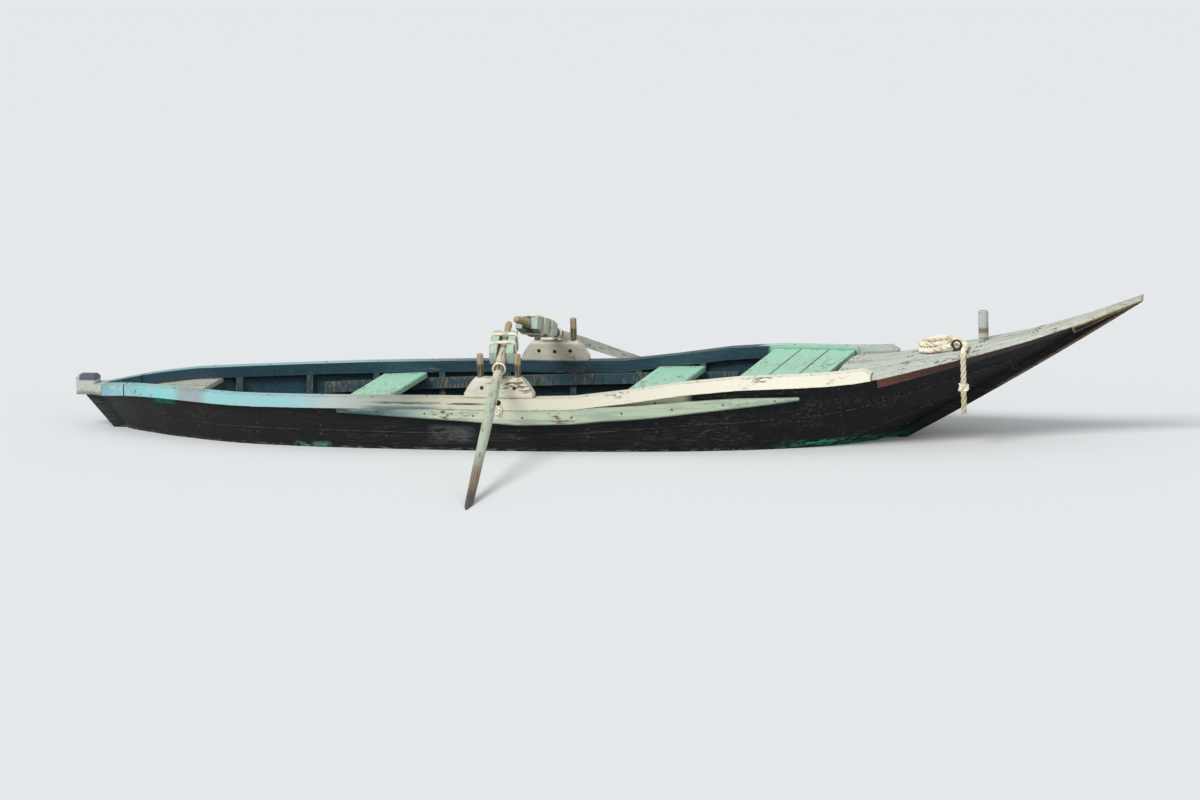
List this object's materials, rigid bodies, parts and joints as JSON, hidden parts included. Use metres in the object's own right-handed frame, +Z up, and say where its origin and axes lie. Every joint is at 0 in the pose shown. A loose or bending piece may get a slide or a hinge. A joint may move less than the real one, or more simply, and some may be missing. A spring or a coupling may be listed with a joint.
{
  "type": "small planked rowing boat",
  "caption": "Small planked wooden rowing boat with raked ends, a long pointed foredeck, turquoise rails and oars between thole pins.",
  "frame": {"origin": "on the waterline plane, on the centreline, midway between the two ends of the boat", "axes": "+X towards the bow, +Y to port, +Z up; z = 0 is the water's surface when the boat floats as in the picture"},
  "size_m": [5.495, 5.5744, 0.9617],
  "materials": {
    "black_tar": "tarred",
    "turquoise_paint": "painted",
    "mint_paint": "painted",
    "grey_paint": "painted",
    "maroon_paint": "painted",
    "bare_wood": "bare",
    "weathered_wood": "weathered",
    "pale_paint": "painted",
    "rope": "laid rope",
    "iron": "rusty"
  },
  "bodies": {
    "hull": {"aft_deck_beams": "weathered_wood", "aft_deck_planks": "grey_paint", "aft_thwart": "mint_paint", "bench_boards": "mint_paint", "bench_ledgers": "weathered_wood", "bilge_strake_port": "black_tar", "bilge_strake_starboard": "black_tar", "bow_band_port": "maroon_paint", "bow_band_starboard": "maroon_paint", "bow_post": "grey_paint", "bow_rope": "rope", "floor_timbers": "weathered_wood", "floorboards": "weathered_wood", "foredeck_beams": "weathered_wood", "foredeck_planks": "grey_paint", "futtocks_port": "weathered_wood", "futtocks_starboard": "weathered_wood", "garboard_port": "black_tar", "garboard_starboard": "black_tar", "keel": "black_tar", "rail_port": "turquoise_paint", "rail_starboard": "turquoise_paint", "ring_bolt": "iron", "riser_port": "weathered_wood", "riser_starboard": "weathered_wood", "rope_coil": "rope", "rope_knot": "rope", "rowing_thwart": "mint_paint", "rub_strake_port": "mint_paint", "rub_strake_starboard": "mint_paint", "sheer_strake_port": "black_tar", "sheer_strake_starboard": "black_tar", "side_strake_port": "black_tar", "side_strake_starboard": "black_tar", "stem": "black_tar", "stem_head_port": "black_tar", "stem_head_starboard": "black_tar", "stern_head": "pale_paint", "sternpost": "black_tar", "thole_chock_port": "pale_paint", "thole_chock_starboard": "pale_paint", "thole_pins_port": "bare_wood", "thole_pins_starboard": "bare_wood"},
    "swivel_port": {"strop_port": "rope"},
    "swivel_starboard": {"strop_starboard": "rope"},
    "oar_port": {"oar_port": "bare_wood", "oar_cheeks_port": "mint_paint"},
    "oar_starboard": {"oar_starboard": "bare_wood", "oar_cheeks_starboard": "mint_paint"}
  },
  "joints": [
    {"name": "sweep_port", "type": "hinge", "parent": "hull", "child": "swivel_port", "pos_m": [-0.37125, 0.60921, 0.41253], "axis": [0, 0, -1], "range_deg": [-45, 30]},
    {"name": "dip_port", "type": "hinge", "parent": "swivel_port", "child": "oar_port", "pos_m": [-0.37125, 0.60921, 0.41253], "axis": [0.9903, -0.1392, 0], "range_deg": [-8, 18]},
    {"name": "sweep_starboard", "type": "hinge", "parent": "hull", "child": "swivel_starboard", "pos_m": [-0.37125, -0.60921, 0.41253], "axis": [0, 0, 1], "range_deg": [-45, 30]},
    {"name": "dip_starboard", "type": "hinge", "parent": "swivel_starboard", "child": "oar_starboard", "pos_m": [-0.37125, -0.60921, 0.41253], "axis": [-0.9903, -0.1392, 0], "range_deg": [-8, 18]}
  ]
}
